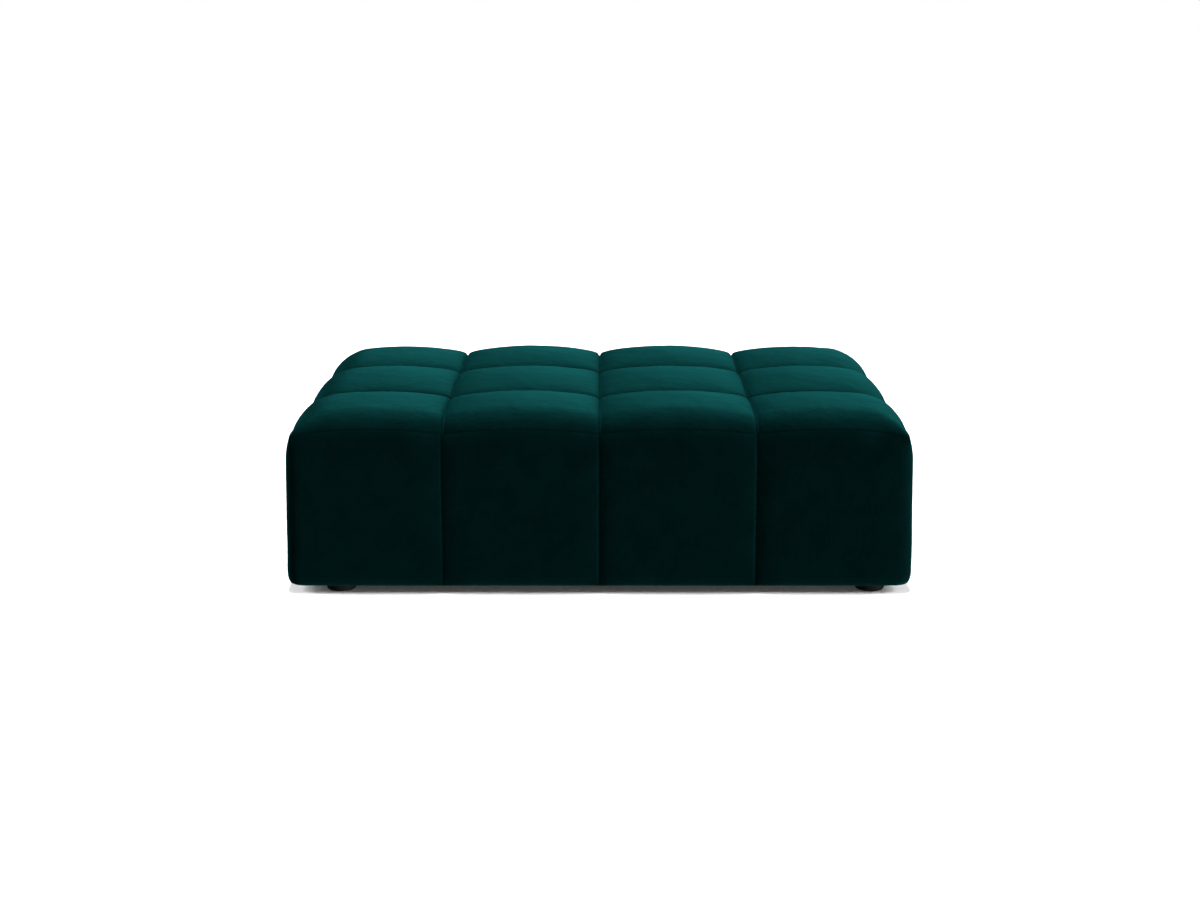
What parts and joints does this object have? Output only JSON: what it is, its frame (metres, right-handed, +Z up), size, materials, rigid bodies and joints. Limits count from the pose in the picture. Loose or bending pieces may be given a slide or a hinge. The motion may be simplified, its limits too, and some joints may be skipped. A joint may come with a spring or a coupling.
{
  "type": "rectangular tufted pouf",
  "caption": "Low rectangular velvet pouf: a top quilted into puffed squares, padded upright panels round the sides, and low round glide feet.",
  "frame": {"origin": "on the floor, under the middle of the pouf", "axes": "+X along the long side, +Y from the front to the back, +Z up"},
  "size_m": [1.449, 1.045, 0.43],
  "materials": {
    "velvet": "short, dense velvet pile in a deep blue-green, with a soft sheen where the pile is seen at a low angle",
    "glide_plastic": "moulded, satin, near black"
  },
  "bodies": {
    "root": {"deck": "velvet", "front_panel_1": "velvet", "front_panel_2": "velvet", "front_panel_3": "velvet", "front_panel_4": "velvet", "right_panel_1": "velvet", "right_panel_2": "velvet", "right_panel_3": "velvet", "back_panel_1": "velvet", "back_panel_2": "velvet", "back_panel_3": "velvet", "back_panel_4": "velvet", "left_panel_1": "velvet", "left_panel_2": "velvet", "left_panel_3": "velvet", "foot_front_left": "glide_plastic", "foot_front_right": "glide_plastic", "foot_back_left": "glide_plastic", "foot_back_right": "glide_plastic"}
  },
  "joints": []
}
